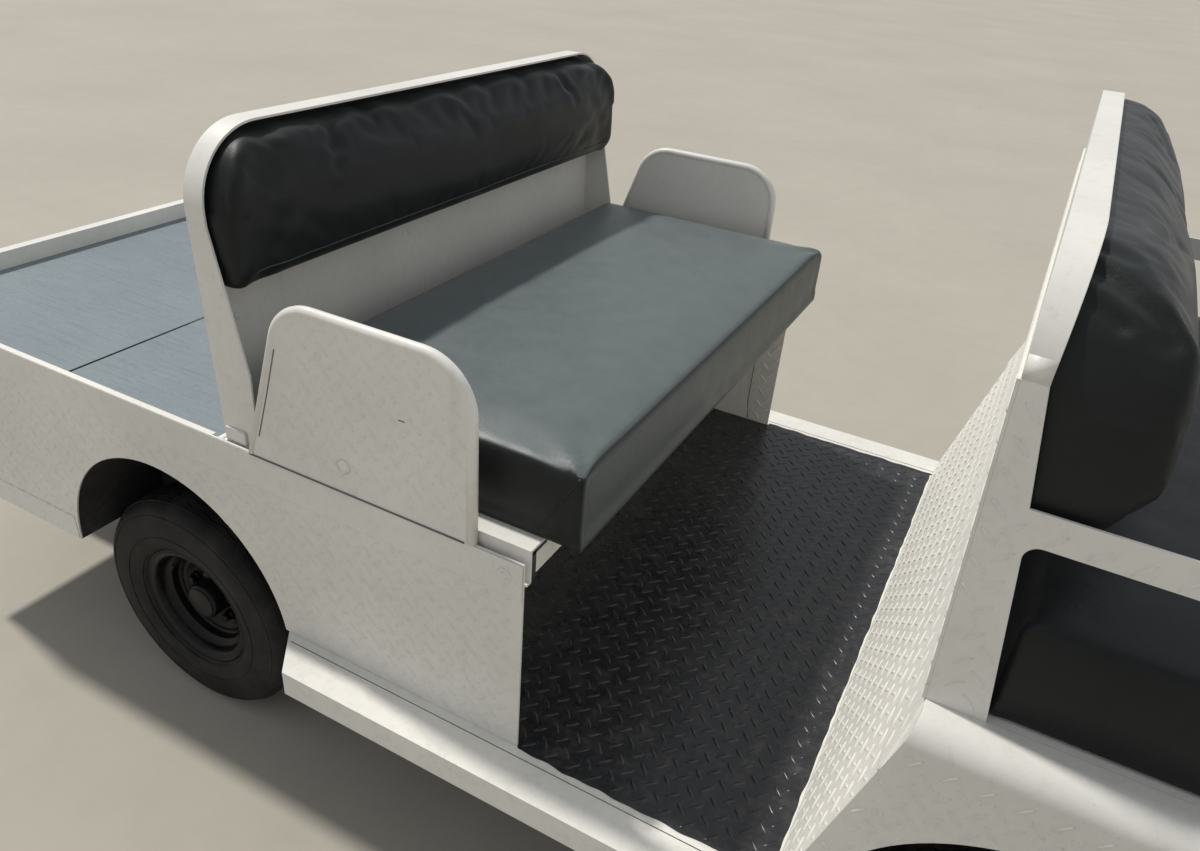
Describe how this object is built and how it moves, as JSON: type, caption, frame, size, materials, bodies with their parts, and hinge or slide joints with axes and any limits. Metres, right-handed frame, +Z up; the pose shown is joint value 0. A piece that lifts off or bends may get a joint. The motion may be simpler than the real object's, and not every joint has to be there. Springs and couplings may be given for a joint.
{
  "type": "burden carrier",
  "caption": "Electric works carrier with two bench seats, a low walk-through footwell, a rear cargo deck, steered front wheels and a tow hitch.",
  "frame": {"origin": "on the ground under the middle of the vehicle", "axes": "+X forward, +Y to the vehicle's left, +Z up"},
  "size_m": [3.2, 1.186, 1.142],
  "materials": {
    "white_paint": "warm white paint over raised tread plate, slightly worn",
    "black_floor": "glossy black paint over raised tread plate",
    "black_steel": "dull black chassis paint",
    "axle_iron": "painted iron, dusty",
    "wheel_black": "satin black wheel paint",
    "deck_paint": "blue-grey deck paint over fine-grained board",
    "black_vinyl": "black grained vinyl",
    "tyre_rubber": "dusty black rubber",
    "battery_case": "black moulded cases",
    "black_plastic": "black moulded grip",
    "lamp_glass": "clear ribbed lens",
    "lamp_red": "red lens"
  },
  "bodies": {
    "carrier": {"chassis_frame": "black_steel", "step_rails": "white_paint", "footwell_floor": "black_floor", "under_seat_riser": "white_paint", "battery_block": "battery_case", "rear_wheel_housings": "black_steel", "rear_end_panel": "white_paint", "deck_frame": "black_steel", "deck_boards": "deck_paint", "bench_back_shell": "white_paint", "bench_back_pad": "black_vinyl", "bench_cushion": "black_vinyl", "bench_seat_frame": "white_paint", "armrests": "white_paint", "toe_board": "white_paint", "front_seat_sides": "white_paint", "front_seat_base": "white_paint", "front_back_shell": "white_paint", "front_back_pad": "black_vinyl", "front_cushion": "black_vinyl", "front_floor": "black_floor", "cowl": "white_paint", "front_bumper": "black_steel", "headlamps": "lamp_glass", "tail_lamps": "lamp_red", "steering_column": "black_steel", "pedals": "black_steel", "parking_brake_lever": "black_steel", "leaf_springs": "black_steel", "rear_axle": "axle_iron", "front_axle": "axle_iron", "tow_hitch": "black_steel", "rear_side_panel_right": "white_paint", "front_side_panel_right": "white_paint", "rear_side_panel_left": "white_paint", "front_side_panel_left": "white_paint"},
    "steering_wheel": {"steering_wheel": "black_plastic"},
    "tie_rod": {"tie_rod": "black_steel"},
    "knuckle_right": {"knuckle_right": "axle_iron"},
    "wheel_rear_right": {"rim_rear_right": "wheel_black", "tyre_rear_right": "tyre_rubber"},
    "wheel_front_right": {"rim_front_right": "wheel_black", "tyre_front_right": "tyre_rubber"},
    "knuckle_left": {"knuckle_left": "axle_iron"},
    "wheel_rear_left": {"rim_rear_left": "wheel_black", "tyre_rear_left": "tyre_rubber"},
    "wheel_front_left": {"rim_front_left": "wheel_black", "tyre_front_left": "tyre_rubber"}
  },
  "joints": [
    {"name": "steer_left", "type": "hinge", "parent": "carrier", "child": "knuckle_left", "pos_m": [0.65, 0.345, 0.21], "axis": [0, 0, 1], "range_deg": [-25, 25]},
    {"name": "steer_right", "type": "hinge", "parent": "carrier", "child": "knuckle_right", "pos_m": [0.65, -0.345, 0.21], "axis": [0, 0, 1], "range_deg": [-25, 25]},
    {"name": "spin_front_left", "type": "hinge", "parent": "knuckle_left", "child": "wheel_front_left", "pos_m": [0.65, 0.43, 0.21], "axis": [0, 1, 0], "continuous": true},
    {"name": "spin_rear_left", "type": "hinge", "parent": "carrier", "child": "wheel_rear_left", "pos_m": [-0.697, 0.43, 0.21], "axis": [0, 1, 0], "continuous": true},
    {"name": "spin_front_right", "type": "hinge", "parent": "knuckle_right", "child": "wheel_front_right", "pos_m": [0.65, -0.43, 0.21], "axis": [0, 1, 0], "continuous": true},
    {"name": "spin_rear_right", "type": "hinge", "parent": "carrier", "child": "wheel_rear_right", "pos_m": [-0.697, -0.43, 0.21], "axis": [0, 1, 0], "continuous": true},
    {"name": "tie_rod_pivot", "type": "hinge", "parent": "knuckle_left", "child": "tie_rod", "pos_m": [0.545, 0.345, 0.2353], "axis": [0, 0, 1], "range_deg": [-25, 25]},
    {"name": "steering_wheel_turn", "type": "hinge", "parent": "carrier", "child": "steering_wheel", "pos_m": [1.15, 0.26, 1.045], "axis": [-0.4226, 0, 0.9063], "range_deg": [-301, 301]}
  ],
  "couplings": [
    {"joint": "steer_right", "follows": "steer_left", "ratio": 1},
    {"joint": "tie_rod_pivot", "follows": "steer_left", "ratio": -1},
    {"joint": "steering_wheel_turn", "follows": "steer_left", "ratio": 12}
  ]
}
